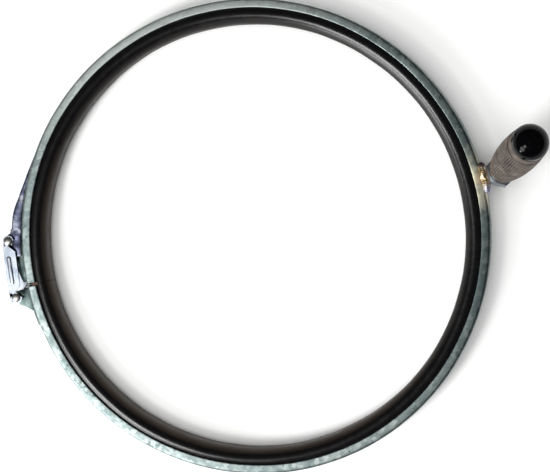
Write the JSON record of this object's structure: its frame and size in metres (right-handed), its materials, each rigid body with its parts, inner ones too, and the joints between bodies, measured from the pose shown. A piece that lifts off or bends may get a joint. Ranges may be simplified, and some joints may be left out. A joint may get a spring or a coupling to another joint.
{
  "type": "pipe repair clamp",
  "caption": "Rubber-lined channel ring that closes round a pipe with an over-centre toggle latch and is carried by a leaning ribbed hand grip.",
  "frame": {"origin": "centre of the seal's bore, in the ring's middle plane", "axes": "+Z along the pipe's axis towards the grip's free end; +X from the latch to the side with the grip; +Y towards the lever's tip"},
  "size_m": [0.4608, 0.397, 0.112],
  "materials": {
    "galvanised_band": "hot-dip galvanised, spangled, satin",
    "seal_rubber": "satin",
    "tab_rubber": "dull",
    "zinc_plate": "bright zinc plated",
    "lever_zinc": "bright zinc plated, blue tint",
    "rivet_steel": "zinc plated",
    "weld_metal": "welded, straw and orange heat tint",
    "grip_plastic": "ribbed, dull",
    "cap_plastic": "glossy"
  },
  "bodies": {
    "upper_half": {"band_upper": "galvanised_band", "seal_upper": "seal_rubber", "seal_joint_tab": "tab_rubber", "lever_bracket": "zinc_plate", "lever_pivot_rivet": "rivet_steel", "weld_nut": "zinc_plate", "weld_bead": "weld_metal", "spring_washer": "rivet_steel", "thrust_washer": "zinc_plate", "handle_spindle": "rivet_steel", "retaining_washer": "rivet_steel", "spindle_nut": "rivet_steel"},
    "lower_half": {"band_lower": "galvanised_band", "seal_lower": "seal_rubber", "catch_bracket": "zinc_plate"},
    "lever": {"lever": "lever_zinc"},
    "link": {"link_plate_front": "zinc_plate", "link_plate_rear": "zinc_plate", "link_upper_rivet": "rivet_steel", "link_lower_rivet": "rivet_steel", "link_spacers": "rivet_steel"},
    "grip": {"grip_body": "grip_plastic", "grip_sleeve": "rivet_steel", "end_cap": "cap_plastic"}
  },
  "joints": [
    {"name": "lever_swing", "type": "hinge", "parent": "upper_half", "child": "lever", "pos_m": [-0.21063, -0.01668, 0], "axis": [0, 0, 1], "range_deg": [0, 120]},
    {"name": "link_swing", "type": "hinge", "parent": "lever", "child": "link", "pos_m": [-0.21087, -0.00368, 0], "axis": [0, 0, 1], "range_deg": [-102.84, 0]},
    {"name": "ring_flex", "type": "hinge", "parent": "upper_half", "child": "lower_half", "pos_m": [0.19741, 0.02075, 0], "axis": [0, 0, 1], "range_deg": [0, 2.24]},
    {"name": "grip_turn", "type": "hinge", "parent": "upper_half", "child": "grip", "pos_m": [0.20738, 0.05712, 0.0154], "axis": [0.2967, 0.3009, 0.9063], "continuous": true}
  ],
  "couplings": [
    {"joint": "link_swing", "follows": "lever_swing", "ratio": -0.85693},
    {"joint": "ring_flex", "follows": "lever_swing", "ratio": 0.018617}
  ]
}
